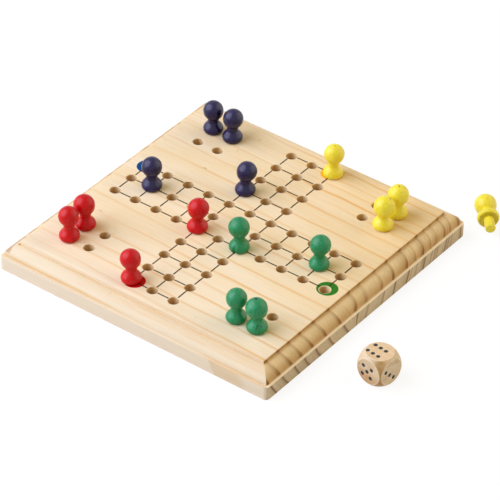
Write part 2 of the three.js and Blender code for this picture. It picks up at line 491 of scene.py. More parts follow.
# The print is a little off the holes: how far, in millimetres, and its turn as a slope
PRINT_SHIFT = (-0.05, 0.24)
PRINT_STRETCH = 1.005  # along Y
PRINT_TURN = (-0.005, 0.0053)
INK_HALF_WIDTH = 0.37
INK_SOFT = 0.07
DASH_HALF = 0.275  # half of a line's length, as a share of the pitch
DASH_SOFT = 0.008
DISC_RADIUS = 5.25
DISC_SOFT = 0.1
BARE_RIM = 0.3  # round a hole, where no ink is
BARE_SOFT = 0.15

# Start discs: the hole that each is for, how far it misses it in millimetres, and its colour
START_DISCS = [
    ((-1, -5), (1.7, 0.38), RED_INK),
    ((5, -1), (0.5, 1.26), GREEN_INK),
    ((1, 5), (-1.3, 0.3), ORANGE_INK),
    ((-5, 1), (0.13, -0.5), BLUE_INK),
]

# A tan patch on the plinth's front: where it starts along X, and its length
PATCH_START = 46
PATCH_LENGTH = 14

# Torn places at the moulding's front left corner: middle and radius
CHIPS = [((-73, -72.6, 13.2), 0.8), ((-79.2, -72.8, 7.9), 0.8), ((-79.3, -75.4, 7.7), 0.7)]

# Small dark flecks on the playing face: place, and half their length and width
FLECKS = [
    ((-33.2, 64), (0.9, 0.25)),
    ((-36.1, 49.8), (0.5, 0.3)),
    ((45.1, -22.6), (0.3, 0.3)),
    ((-39.9, 28.6), (1.2, 0.3)),
    ((12, 31), (0.8, 0.2)),
    ((-58, -30), (1.5, 0.25)),
]


def growth_place(x, y, depth):
    """Where the growth layer of a point comes up at the playing face's right edge, along Y."""
    drift = noise(x * 0.013, y * 0.03, depth * 0.02, 2.0)
    ripple = noise(x * 0.06, y * 0.12, depth * 0.05, 2.0)
    level = y - (TOP_HALF - x) * GRAIN_SLOPE
    level = level + (drift - 0.5) * GROWTH_DRIFT + (ripple - 0.5) * GROWTH_RIPPLE
    front = depth * FRONT_LEAN + depth * depth * FRONT_CURL
    rear = depth * REAR_LEAN * rise(y, 80.0, 62.0)
    in_front = rise(y, PITH_LINE + 1.0, PITH_LINE - 1.0)
    return level - between(in_front, rear, front)


def growth_lines(level):
    """How far a point is in late wood: in narrow lines, in broad bands, and through its ring."""
    last = len(GROWTH_LINES) - 1
    stops = [
        ((place + GROWTH_REACH) / (2 * GROWTH_REACH), (k / last, strength, width, 1.0))
        for k, (place, strength, width) in enumerate(GROWTH_LINES)
    ]
    share = (level + GROWTH_REACH) / (2.0 * GROWTH_REACH)
    ring, strength, width = axes(ramp(share, stops))
    phase = fract(ring * float(last))
    before = rise(phase, 1.0 - width * 0.85, 0.98)
    after = rise(phase, width * 0.25, 0.0)
    narrow = most(before, after) * strength
    before = rise(phase, 1.0 - width * 1.2, 0.96)
    after = rise(phase, width * 0.45, width * 0.1)
    return narrow, most(before, after) * strength, phase * strength


def long_grain(x, y, level, depth, line):
    """Colour of the wood where it is cut along its grain."""
    patch = noise(x * 0.012, level * 0.07, depth * 0.06, 2.0)
    streak = noise(x * 0.022, level * 1.1, depth * 0.6, 3.0, 0.6)
    fibre = noise(x * 0.05, level * 2.2, depth * 1.2, 2.0, 0.6)
    strength = noise(x * 0.02, level * 0.1, 7.0, 2.0)
    towards_front = rise(y, 0.0, -75.0)
    towards_rear = rise(y, 0.0, 60.0)
    towards_right = rise(x, -70.0, 70.0)
    rear_right = rise(x * 0.55 + y * 0.45, -18.0, 75.0)
    rear_left = rise(y - x, 20.0, 110.0)
    front_strip = rise(y, -58.0, -70.0)
    # Painted highlight: a pale band along the playing face's front edge, where its rounded edge
    # catches the light.
    front_edge_highlight = rise(y, -69.7, -70.5) * rise(x, 25.0, -20.0)
    base = mix(rise(patch, 0.35, 0.65), EARLY_WOOD, PALE_WOOD)
    base = mix(rear_right * 0.75, base, WARM_WOOD)
    base = mix(towards_front * 0.8, base, PALE_WOOD)
    worn = line * between(towards_right, 0.45, 1.25) * between(rise(strength, 0.3, 0.7), 0.4, 0.95)
    faint = rise(fibre, 0.52, 0.78) * between(towards_rear, 0.3, 0.55)
    colour = mix(most(worn, faint), base, LATE_WOOD)
    colour = shade(colour, between(front_strip, 1.0, 0.94))
    colour = shade(colour, between(rear_left, 1.0, 0.945))
    colour = mix(front_edge_highlight * 0.25, colour, EDGE_HIGHLIGHT_WOOD)
    return shade(colour, between(streak, 0.9, 1.08))


def end_grain(x, y, z, level, line, band, ripe):
    """Colour of the wood where it is cut across its grain, darker on the step and at the ovolo's foot:
    partly the cutter's burn, partly painted shade in these hollows.
    """
    pores = noise(x * 0.5, level * 2.4, z * 0.22, 3.0, 0.6)
    cloud = noise(x * 0.1, y * 0.12, z * 0.1, 2.0)
    low = between(rise(z, OVOLO_TOP, PLINTH_TOP), 0.45, 1.1)
    fine = rise(noise(level * 0.95, x * 0.02, z * 0.04, 2.0, 0.6), 0.48, 0.68)
    fine = fine * between(rise(y, 10.0, 35.0), 0.12, 0.5)
    late = most(band * 0.9, line, fine, ripe * 0.25) * low
    ovolo = mix(late, END_OVOLO_WOOD, END_OVOLO_LATE_WOOD)
    plinth = mix(most(line, band * 0.5, fine), END_PLINTH_WOOD, END_PLINTH_LATE_WOOD)
    colour = mix(rise(z, PLINTH_TOP - 0.1, PLINTH_TOP + 0.1), plinth, ovolo)
    colour = shade(colour, between(pores, 0.78, 1.18))
    colour = shade(colour, between(cloud, 0.92, 1.06))
    colour = shade(colour, between(ripe, 1.03, 0.92))
    # Burn and painted shade: the growth bands darken on the step and at the ovolo's foot, where the
    # cutter burnt the wood and these hollows hold shade.
    step = rise(z, OVOLO_TOP, OVOLO_TOP + 0.6) * rise(z, BOARD_TOP - 0.15, BOARD_TOP - 0.5)
    foot = rise(z, PLINTH_TOP + 5.2, PLINTH_TOP + 0.8) * rise(z, PLINTH_TOP + 0.1, PLINTH_TOP + 0.7)
    burnt = most(step * 0.95, foot * 0.65) * between(band, 0.75, 1.0)
    colour = mix(burnt, colour, mix(band, BURN_AND_SHADE_WOOD, BURN_AND_SHADE_LATE_WOOD))
    on_ledge = rise(abs(x), BOARD_HALF - 1.5, BOARD_HALF - 1.2)
    ledge = on_ledge * rise(z, PLINTH_TOP - 0.35, PLINTH_TOP - 0.15)
    return mix(ledge * 0.9, colour, END_LEDGE_WOOD)


def front_grain(x, y, z):
    """Colour of the front's moulding and plinth, paler than the playing face."""
    round_ovolo = z - abs(y)
    streak = noise(x * 0.02, round_ovolo * 1.1, 2.0, 3.0, 0.65)
    fuzz = noise(x * 0.07, round_ovolo * 3.4, 5.0, 3.0, 0.7)
    in_plinth = rise(z, PLINTH_TOP - 0.05, PLINTH_TOP - 0.25)
    colour = mix(in_plinth, FRONT_WOOD, PLINTH_WOOD)
    upper = rise(z, OVOLO_TOP - 2.8, OVOLO_TOP - 1.4) * rise(x, -70.0, 10.0)
    streaked = between(rise(fuzz, 0.42, 0.68), 0.08, 0.55)
    colour = mix(upper * streaked, colour, ARRIS_WOOD)
    start = x - PATCH_START + (z - PLINTH_TOP) * 0.5
    patch = rise(start, -0.5, 0.5) * rise(start, PATCH_LENGTH + 8.0, PATCH_LENGTH)
    colour = mix(patch * in_plinth * rise(y, -70.0, -75.0), colour, PATCH_WOOD)
    leftwards = rise(x, 15.0, -35.0)
    reach = between(leftwards, 1.0, 2.8)
    in_corner = rise(z, PLINTH_TOP + reach, PLINTH_TOP + reach * 0.2)
    in_corner = in_corner * rise(z, PLINTH_TOP, PLINTH_TOP + 0.25)
    varied = between(rise(fuzz, 0.35, 0.6), 0.5, 1.0)
    colour = mix(in_corner * varied * between(leftwards, 0.08, 0.72), colour, ARRIS_WOOD)
    ledge = rise(z, PLINTH_TOP - 0.4, PLINTH_TOP - 0.15) * rise(z, PLINTH_TOP + 0.3, PLINTH_TOP + 0.1)
    colour = mix(ledge * rise(x, 38.0, 50.0) * varied * 0.45, colour, ARRIS_WOOD)
    step = rise(z, OVOLO_TOP - 0.2, OVOLO_TOP + 0.1) * rise(z, OVOLO_TOP + 0.9, OVOLO_TOP + 0.5)
    colour = mix(step * varied * between(leftwards, 0.2, 0.5), colour, ARRIS_WOOD)
    edge = rise(z, OVOLO_TOP + 1.0, OVOLO_TOP + 1.5)
    colour = mix(edge * between(leftwards, 0.1, 0.35), colour, PATCH_WOOD)
    return shade(colour, between(streak, 0.88, 1.1))


def chips(x, y, z):
    """Torn grain at the moulding's left corner."""
    marks = []
    for (place_x, place_y, place_z), radius in CHIPS:
        away = length(vector(x - place_x, y - place_y, z - place_z))
        ragged = away + noise(x * 1.5, y * 1.5, z * 1.5, 2.0) * radius
        marks.append(rise(ragged, radius * 1.6, radius * 1.1))
    return most(*marks)


def beyond_face(shader, x, y, z):
    """1 on the moulding and the plinth at the board's ends, and the same at its long sides."""
    _, _, facing_z = shader.facing()
    upright = rise(facing_z, -0.9, -0.6) * rise(z, BOARD_TOP - 0.02, BOARD_TOP - 0.12)
    across = abs(x)
    along = abs(y)
    on_end = rise(across - along, -0.06, 0.06)
    ends = rise(across, TOP_HALF - 0.6, TOP_HALF - 0.3) * on_end * upright
    sides = rise(along, TOP_HALF - 0.6, TOP_HALF - 0.3) * (1.0 - on_end) * upright
    return ends, sides


def nearest(value):
    """How far a value is from the nearest whole number."""
    return abs(fract(value + 0.5) - 0.5)


def dashes(along, across):
    """Printed lines that run one way, each between two neighbouring holes, in holes' pitches."""
    inner = abs(along)
    outer = abs(across)
    arm = rise(outer, 1.6, 1.5) * rise(inner, ARM_HOLES + 0.01, ARM_HOLES - 0.01)
    cross_arm = rise(outer, ARM_HOLES + 0.6, ARM_HOLES + 0.5) * rise(inner, 1.01, 0.99)
    middle = rise(outer, 0.6, 0.5) * rise(inner, 1.01, 0.99)
    line = rise(nearest(across) * PITCH, INK_HALF_WIDTH + INK_SOFT, INK_HALF_WIDTH - INK_SOFT)
    dash = rise(abs(fract(along) - 0.5), DASH_HALF + DASH_SOFT, DASH_HALF - DASH_SOFT)
    return most(arm, cross_arm) * (1.0 - middle) * line * dash


def print_ink(x, y, z, colour):
    """Lays the printed start discs and track lines over a colour."""
    column = (x - PRINT_SHIFT[0] - y * PRINT_TURN[0]) / PITCH
    row = (y - PRINT_SHIFT[1] - x * PRINT_TURN[1]) / (PITCH * PRINT_STRETCH)
    uneven = noise(x * 0.7, y * 0.7, 3.0, 3.0, 0.7)
    lines = most(dashes(column, row), dashes(row, column))
    lines = lines * between(rise(uneven, 0.3, 0.5), 0.85, 1.0)
    to_column = nearest(x / PITCH) * PITCH
    to_row = nearest(y / PITCH) * PITCH
    from_hole = length(vector(to_column, to_row, 0.0))
    bare = HOLE_RADIUS + BARE_RIM
    on_face = rise(z, BOARD_TOP - 0.05, BOARD_TOP - 0.02)
    inked = on_face * rise(from_hole, bare - BARE_SOFT, bare + BARE_SOFT)
    for (i, j), (miss_x, miss_y), ink in START_DISCS:
        away_x = x - (i * PITCH + miss_x)
        away_y = y - (j * PITCH + miss_y)
        away = length(vector(away_x, away_y, 0.0))
        disc = rise(away, DISC_RADIUS + DISC_SOFT, DISC_RADIUS - DISC_SOFT)
        colour = mix(disc * inked, colour, ink)
    return mix(lines * inked, colour, INK)


def left_edge(x, y, z):
    """1 where the quarter round of the left end is burnt brown by the cutter."""
    uneven = noise(x * 0.1, y * 0.22, 4.0, 3.0, 0.7)
    rounded = rise(x, 5.5 - BOARD_HALF, 4.7 - BOARD_HALF) * rise(z, PLINTH_TOP + 1.9, PLINTH_TOP + 2.9)
    return rounded * between(rise(uneven, 0.35, 0.6), 0.15, 0.75)


def flecks(x, y, z):
    """Resin flecks: a few at set places and many faint ones."""
    marks = []
    for (place_x, place_y), (half_length, half_width) in FLECKS:
        away_x = (x - place_x) / half_length
        away_y = (y - place_y) / half_width
        away = length(vector(away_x, away_y, 0.0))
        marks.append(rise(away, 1.2, 0.5) * 0.6)
    dust = noise(x * 0.35, y * 2.2, z * 2.2, 1.0)
    marks.append(rise(dust, 0.73, 0.8) * 0.3)
    return most(*marks)


def pine_material():
    shader = Shader("pine_wood")
    x, y, z = shader.place()
    depth = BOARD_TOP - z
    level = growth_place(x, y, depth)
    line, band, ripe = growth_lines(level)
    ends, sides = beyond_face(shader, x, y, z)
    colour = long_grain(x, y, level, depth, line)
    colour = mix(sides, colour, front_grain(x, y, z))
    plainer = between(rise(x, -10.0, 10.0), 0.35, 1.0)
    colour = mix(ends * plainer, colour, end_grain(x, y, z, level, line, band, ripe))
    colour = mix(left_edge(x, y, z), colour, WORN_EDGE_WOOD)
    colour = mix(flecks(x, y, z), colour, FLECK_WOOD)
    colour = mix(chips(x, y, z), colour, CHIPPED_WOOD)
    colour = print_ink(x, y, z, colour)
    fibre = noise(x * 0.05, level * 2.5, depth * 2.5, 3.0, 0.65)
    roughness = between(fibre, 0.5, 0.68)
    return shader.finish(colour, roughness, fibre + line * 0.3, 0.05, PINE_SHINE)


def bore_material():
    """Wood inside a hole: brown where the drill crossed the grain, with painted shade that darkens it
    deep down.
    """
    shader = Shader("bored_wood")
    x, y, z = shader.place()
    facing_x, _, _ = shader.facing()
    fibres = noise(x * 0.9, y * 2.4, z * 0.5, 3.0, 0.65)
    rings = noise(x * 0.1, y * 0.1, z * 3.0, 2.0)
    crossed = rise(abs(facing_x), 0.1, 0.8)
    colour = mix(crossed, BORE_WOOD, CROSSED_BORE_WOOD)
    colour = shade(colour, between(fibres, 0.78, 1.2))
    colour = shade(colour, between(rings, 0.92, 1.06))
    # Painted shade: the wall's colour darkens towards the bottom of the hole, where little light
    # reaches.
    depth = rise(z, BOARD_TOP - 4.5, BOARD_TOP - 0.6)
    colour = shade(colour, between(depth, 0.9, 1.0))
    return shader.finish(colour, 0.75, fibres + rings, 0.1)


# Pegs, each a little different, as turned by hand

# Along the board, towards the right of the camera's picture
RIGHT_OF_CAMERA = Vector((0.80, 0.60))

NICKED_PEG = "green_peg_1"
NICK_SIDE = -83
NICK_HALF_ANGLE = 14
NICK_HEIGHT = 4.5
NICK_DEPTH = 1.6
PITTED_PEG = "green_peg_4"
PIT_SIDE = -57
PIT_HEIGHT = 4.9
PIT_OUT = 4.4  # from the peg's axis
PIT_REACH = 2.4
DIMPLE_REACH = 1.4  # as a share of its radius, and so is its depth
DIMPLE_DEPTH = 0.5
SCRATCH_AWAY = 7.5  # from the dimple, in its radii
HOLLOW_SHADE = 0.2
TIMBER_APART = 40  # from one peg's grain to the next one's

# What a peg has of its own, in millimetres: its paint, its head's shift to the camera's right
# and up, the radius of its head and of its skirt, where the lathe's dimple is on its head (turned
# away from the top, in degrees, and towards which side), and the dimple's radius
Peg = namedtuple("Peg", "paint aside raised head skirt dimple dimple_radius", defaults=((3, 0), 0.35))

PEGS = {
    "red_peg_1": Peg("red", 0.5, -0.2, 5.17, 5.20),
    "red_peg_2": Peg("red", -0.42, 0.05, 5.01, 5.09),
    "red_peg_3": Peg("red", -0.5, 0.3, 5.23, 5.15),
    "red_peg_4": Peg("red", -0.3, 0.6, 4.99, 5.05),
    "blue_peg_1": Peg("blue", -0.02, 0, 5.06, 5.10),
    "blue_peg_2": Peg("blue", 0.7, -0.1, 5.03, 5.10),
    "blue_peg_3": Peg("blue", -0.03, -0.15, 5.05, 5.05, (8, 200), 0.6),
    "blue_peg_4": Peg("blue", 0.28, 0.1, 5.05, 5.10),
    "green_peg_1": Peg("green", -0.28, 0.33, 5.13, 5.05),
    "green_peg_2": Peg("green", 0.4, 0.3, 5.05, 5.0),
    "green_peg_3": Peg("green", 0.02, 0, 5.00, 5.06),
    "green_peg_4": Peg("green", -0.38, 0.05, 5.23, 5.1, (7, 150), 0.95),
    "yellow_peg_1": Peg("yellow", 0.27, 0.22, 5.04, 4.95),
    "yellow_peg_2": Peg("yellow", 0.4, -0.4, 5.28, 5.15, (30, 40), 0.5),
    "yellow_peg_3": Peg("yellow", 0.1, -0.35, 5.17, 5.15, (4, 0), 0.5),
    "yellow_peg_4": Peg("yellow", 0, -0.3, 5.5, 5.5),
}


def bezier(start, first, second, end, steps):
    """Points of a cubic curve in a profile, without its start."""
    points = []
    for step in range(1, steps + 1):
        t = step / steps
        u = 1 - t
        weights = (u**3, 3 * u * u * t, 3 * u * t * t, t**3)
        corners = (start, first, second, end)
        points.append(tuple(sum(w * c[k] for w, c in zip(weights, corners)) for k in range(2)))
    return points


def head_centre(peg):
    return HEAD_HEIGHT + peg.raised


def peg_outline(peg):
    """Radius and height from the pin's tip to the top of the head, the foot at height zero."""
    tip = PIN_RADIUS - PIN_TAPER
    points = [
        (tip - PIN_CHAMFER, -PIN_LENGTH),
        (tip, PIN_CHAMFER - PIN_LENGTH),
        (tip, PIN_GROOVE - PIN_GROOVE_BELOW - PIN_LENGTH),
        (tip - PIN_GROOVE_DEPTH, PIN_GROOVE - PIN_LENGTH),
        (tip, PIN_GROOVE + PIN_GROOVE_ABOVE - PIN_LENGTH),
        (PIN_RADIUS, 0),
        (FOOT_RADIUS, 0),
    ]
    turn_in = (peg.skirt - SKIRT_TURN_IN, 0)
    turn_up = (peg.skirt, SKIRT_TURN_UP)
    bulge = (peg.skirt, SKIRT_HEIGHT)
    points += bezier(points[-1], turn_in, turn_up, bulge, FOOT_STEPS)
    reach = (NECK_HEIGHT - SKIRT_HEIGHT) / 2
    points += bezier(
        bulge,
        (peg.skirt, SKIRT_HEIGHT + SKIRT_FULLNESS * reach),
        (NECK_RADIUS, NECK_HEIGHT - NECK_FULLNESS * reach),
        (NECK_RADIUS, NECK_HEIGHT),
        SKIRT_STEPS,
    )
    neck = math.degrees(math.acos(NECK_RADIUS / peg.head))
    middle = head_centre(peg)
    for radius, height in arc((0, middle), peg.head, -neck, 90, HEAD_STEPS)[:-1]:
        over = height - middle
        points.append((radius, middle + min(over, over * HEAD_DROOP)))
    return points


def dimple_place(peg):
    """Centre of the lathe's dimple on the head, in the peg's own millimetres."""
    lean, side = (math.radians(angle) for angle in peg.dimple)
    away = Vector((math.sin(lean) * math.cos(side), math.sin(lean) * math.sin(side), math.cos(lean)))
    return Vector((0, 0, head_centre(peg))) + away * peg.head


def dented(point, peg):
    """A point of the head, pushed in where the dimple is."""
    away = (point - dimple_place(peg)).length / (DIMPLE_REACH * peg.dimple_radius)
    if away >= 1:
        return point
    centre = Vector((0, 0, head_centre(peg)))
    depth = DIMPLE_DEPTH * peg.dimple_radius * (1 - away * away) ** 2
    return point + (centre - point).normalized() * depth


def nicked(point, name):
    """A point of the first green peg's skirt, pulled in where it has a nick."""
    if name != NICKED_PEG or not 0 <= point.z < NICK_HEIGHT or point.to_2d().length < FOOT_RADIUS / 2:
        return point
    direction = math.degrees(math.atan2(point.y, point.x)) - NICK_SIDE
    off = abs((direction + 180) % 360 - 180) / NICK_HALF_ANGLE
    if off >= 1:
        return point
    pull = NICK_DEPTH * (1 - off) * (1 - point.z / NICK_HEIGHT)
    inward = point.to_2d().normalized() * pull
    return Vector((point.x - inward.x, point.y - inward.y, point.z))


def pitting(point, name):
    """How much a point lies among the open pits in the fourth green peg's skirt."""
    if name != PITTED_PEG:
        return 0
    side = math.radians(PIT_SIDE)
    centre = Vector((math.cos(side) * PIT_OUT, math.sin(side) * PIT_OUT, PIT_HEIGHT))
    return max(0, 1 - (point - centre).length / PIT_REACH)


def leaned(point, peg):
    """A point moved with the lean of the neck and head."""
    share = min(max((point.z - NECK_HEIGHT) / (head_centre(peg) - NECK_HEIGHT), 0), 1)
    shift = RIGHT_OF_CAMERA * peg.aside * share
    return Vector((point.x + shift.x, point.y + shift.y, point.z))


def build_peg(name, peg, place, material):
    rings = []
    points = []
    for radius, height in peg_outline(peg):
        level = [Vector(point) for point in circle(0, 0, radius, height, PEG_SIDES)]
        rings.append(add_ring(points, level))
    top = add_ring(points, [Vector((0, 0, head_centre(peg) + peg.head))])[0]
    points = [nicked(dented(point, peg), name) for point in points]
    faces = [tuple(reversed(rings[0]))]
    for lower, upper in zip(rings, rings[1:]):
        faces.extend(strip(lower, upper))
    faces.extend(fan(rings[-1], top))

    placed = [place @ leaned(point, peg) for point in points]
    made = mesh_object(name + "_turned", placed, faces, [material], PEG_SMOOTH_ANGLE)
    apart = Vector((TIMBER_APART * list(PEGS).index(name), 0, 0))
    carry(made, "timber", [point + apart for point in points])
    carry(made, "from_dimple", [(p - dimple_place(peg)) / peg.dimple_radius for p in points])
    carry(made, "pitted", [(pitting(point, name), 0, 0) for point in points])
    return made


def carry(made, attribute, vectors):
    """Stores a vector at each point of a mesh, for its material."""
    layer = made.data.attributes.new(attribute, "FLOAT_VECTOR", "POINT")
    layer.data.foreach_set("vector", [number for vector in vectors for number in vector])


def standing_place(name):
    low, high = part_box(name)
    middle = (low + high) / 2 / MM
    return Matrix.Translation((middle.x, middle.y, BOARD_TOP))


def lying_place(peg):
    """On its side past the board's corner, its skirt and its head on the table."""
    lean = math.asin((peg.head - peg.skirt) / (head_centre(peg) - SKIRT_HEIGHT))
    height = peg.skirt * math.cos(lean) - SKIRT_HEIGHT * math.sin(lean)
    x, y = (BOARD_HALF + gap for gap in LOOSE_GAP)
    turn = Matrix.Rotation(LOOSE_TURN, 4, "Z") @ Matrix.Rotation(math.pi / 2 - lean, 4, "Y")
    return Matrix.Translation((x, y, height)) @ turn


def paint_material(name, colour, deep, worn, gloss=0.23, shine=0.37):
    """Satin paint over turned wood, whose grain runs up the peg and shows through."""
    shader = Shader(name + "_satin")
    deep = linear(deep)
    hollow = darker(deep, HOLLOW_SHADE)
    x, y, z = axes(shader.painted("timber"))
    grain = noise(x * 1.1, y * 1.1, z * 0.14, 3.0, 0.6)
    cloud = noise(x * 0.3, y * 0.3, z * 0.3, 2.0)
    lathe = noise(x * 0.03, y * 0.03, z * 2.6, 3.0, 0.7)
    brushed = noise(x * 1.4, y * 1.4, z * 1.4, 3.0, 0.65)
    painted = mix(rise(grain, 0.3, 0.75) * 0.5, linear(colour), deep)
    painted = mix(rise(lathe, 0.55, 0.75) * 0.3, painted, deep)
    painted = mix(rise(cloud, 0.5, 0.8) * 0.5, painted, linear(worn))
    pits = noise(x * 1.9, y * 1.9, z * 1.9, 1.0)
    pitted, _, _ = axes(shader.painted("pitted"))
    open_pits = noise(x * 1.1, y * 1.1, z * 1.1, 0.0)
    pit = rise(open_pits, 0.53, 0.6) * rise(pitted, 0.2, 0.4)
    pit = most(rise(pits, 0.71, 0.76), pit)
    painted = mix(pit * between(pitted, 0.3, 1.0), painted, hollow)
    from_dimple = length(shader.painted("from_dimple"))
    dimple = rise(from_dimple, 1.15, 0.7)
    scratch = rise(abs(from_dimple - SCRATCH_AWAY), 0.4, 0.0) * rise(cloud, 0.45, 0.6)
    painted = mix(most(dimple * 0.92, scratch * 0.35), painted, hollow)
    underside = rise(z, 0.35, 0.1) * rise(z, -0.15, -0.05)
    speckled = mix(rise(pits, 0.45, 0.65), darker(deep, 0.9), darker(deep, 0.62))
    painted = mix(underside, painted, speckled)
    roughness = between(brushed, gloss, gloss + 0.1)
    height = grain * 0.6 + lathe * 0.7 + brushed * 0.5 - pit
    return shader.finish(painted, roughness, height, 0.09, shine)


def all_paints():
    return {
        "red": paint_material("red", "cc0006", "a80004", "d20a14", shine=0.26),
        "blue": paint_material("blue", "1c0f45", "10082e", "241c58", 0.2),
        "green": paint_material("green", "1c8a55", "0c6036", "34a070"),
        "yellow": paint_material("yellow", "f3e138", "dfc71a", "f6e75c", shine=0.42),
    }


def build_pegs():
    paints = all_paints()
    for name, peg in PEGS.items():
        lying = name == "yellow_peg_4"
        place = lying_place(peg) if lying else standing_place(name)
        made = build_peg(name, peg, place, paints[peg.paint])
        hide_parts(name)
        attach(made, name)


# The die

DIE_WOOD = linear("e0c29b")
DIE_LATE_WOOD = linear("c69a6e")
DIE_FRONT_WOOD = linear("cfb692")
DIE_LOW_SHADE_WOOD = linear("b8874c")
DIE_STAIN = linear("c8864c")
DIE_CORNER_WOOD = linear("a2782f")
DIE_SWIRL = linear("c98f55")
DIE_LEFT_WOOD = linear("ecd2b6")
DIE_RIGHT_WOOD = linear("d4c4ae")
DIE_STREAK = linear("a87c50")
DIE_EDGE_HIGHLIGHT_WOOD = linear("f4e0c2")
DIE_SHINE = 0.36
PIP_INK = linear("15120f")
PIP_DUST = linear("2a2520")


def diagonal(inset):
    return [(-inset, inset), (inset, -inset)]


def corners(inset):
    return diagonal(inset) + [(-inset, -inset), (inset, inset)]


def missed(pips, miss, turn=0):
    """Pips turned and moved together, as a stamp that missed its face's middle leaves them."""
    turned = [Matrix.Rotation(turn, 2) @ Vector(pip) for pip in pips]
    return [(pip.x - miss[0], pip.y - miss[1]) for pip in turned]


def die_faces():
    """Pips of each face, and the turns about X and Z that bring the top face there."""
    quarter = math.pi / 2
    rows = (-SIX_ROW_SPACING / 2, SIX_ROW_SPACING / 2)
    six = [(k * SIX_PIP_SPACING, row) for k in (-1, 0, 1) for row in rows]
    return [
        (missed(six, SIX_MISS), 0, 0),
        ([(0, 0)], math.pi, 0),
        (missed([(0, 0)] + corners(PIP_INSET), FIVE_MISS, FIVE_TURN), quarter, 0),
        (diagonal(PIP_INSET), -quarter, 0),
        (missed([(0, 0)] + diagonal(THREE_INSET), THREE_MISS), quarter, quarter),
        (corners(PIP_INSET), quarter, -quarter),
    ]


def square_edge():
    """Directions round the edge of a die's face, evenly spaced, anticlockwise."""
    directions = []
    for side in range(4):
        for step in range(DIE_SIDE_STEPS):
            slant = math.tan(math.radians(-45 + 90 * step / DIE_SIDE_STEPS))
            turned = Matrix.Rotation(side * math.pi / 2, 2) @ Vector((1, slant))
            directions.append(Vector((turned.x, turned.y, 1)).normalized())
    return directions


def pip_level(x, y, share=1):
    """A ring of a pip's bowl, whose radius is a share of the pip's."""
    height = DIE_SIDE / 2 - PIP_DEPTH * (1 - share * share)
    return [Vector(p) for p in circle(x, y, PIP_RADIUS * share, height, PIP_SIDES)]


def die_face(pips):
    """Points and faces of one face, seen from above: first the wood's faces, then the pips'."""
    half = DIE_SIDE / 2
    rim = DIE_FACE / 2
    ball = math.hypot(half, rim)
    points = []
    edge = square_edge()

    def level(radius, height):
        away = [direction.to_2d().normalized() * radius for direction in edge]
        return add_ring(points, [Vector((a.x, a.y, height)) for a in away])

    # The arris between the flat and the ball is a short curve
    polar = math.atan2(rim, half) + DIE_ARRIS / ball
    end = (ball * math.sin(polar), ball * math.cos(polar))
    start = (rim - DIE_ARRIS, half)
    arris = bezier(start, (rim - DIE_ARRIS / 3, half), (rim, half), end, ARRIS_STEPS)
    flat_ring = level(*start)
    levels = [flat_ring] + [level(radius, height) for radius, height in arris]
    outset = [points[number].normalized() for number in levels[-1]]
    for step in range(1, DIE_CORNER_STEPS + 1):
        share = step / DIE_CORNER_STEPS
        bulge = [a.lerp(b, share).normalized() * ball for a, b in zip(outset, edge)]
        levels.append(add_ring(points, bulge))

    wood = []
    for inner, outer in zip(levels, levels[1:]):
        wood.extend(strip(outer, inner))
    inks = []
    rims = []
    for x, y in pips:
        bowl = add_ring(points, pip_level(x, y))
        rims.append(bowl)
        for share in PIP_LEVEL_SHARES:
            lower = add_ring(points, pip_level(x, y, share))
            inks.extend(strip(bowl, lower))
            bowl = lower
        bottom = add_ring(points, [Vector((x, y, half - PIP_DEPTH))])[0]
        inks.extend(fan(bowl, bottom))
    wood.extend(cap(points, [flat_ring] + rims))
    return points, wood, inks


def build_die(wood_material, ink_material):
    low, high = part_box("die")
    place = Matrix.Translation((low + high) / 2 / MM) @ Matrix.Rotation(DIE_TURN, 4, "Z")
    points = []
    woods = []
    inks = []
    for pips, about_x, about_z in die_faces():
        turn = Euler((about_x, 0, about_z), "XYZ").to_matrix()
        face_points, face_wood, face_inks = die_face(pips)
        first = len(points)
        points += [turn @ point for point in face_points]
        woods += [tuple(first + k for k in face) for face in face_wood]
        inks += [tuple(first + k for k in face) for face in face_inks]
    placed = [place @ point for point in points]
    materials = [wood_material, ink_material]
    made = mesh_object("die_wood_cube", placed, woods + inks, materials, DIE_SMOOTH_ANGLE)
    for face in made.data.polygons[len(woods) :]:
        face.material_index = 1
    carry(made, "timber", points)
    work = bmesh.new()
    work.from_mesh(made.data)
    bmesh.ops.remove_doubles(work, verts=work.verts, dist=WELD_DISTANCE * MM)
    work.to_mesh(made.data)
    work.free()
    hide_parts("die")
    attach(made, "die")


def face_edge_highlights(x, y, z):
    """1 on the thin pale rims of the die's flat faces, a painted highlight for the light that their
    rounded edges catch.
    """
    rims = []
    for across, first, second in ((x, y, z), (y, x, z), (z, x, y)):
        from_middle = length(vector(first, second, 0.0))
        rim = rise(abs(from_middle - DIE_FACE / 2), 0.34, 0.1)
        rims.append(rim * rise(abs(across), DIE_SIDE / 2 - 0.4, DIE_SIDE / 2 - 0.2))
    return most(*rims)


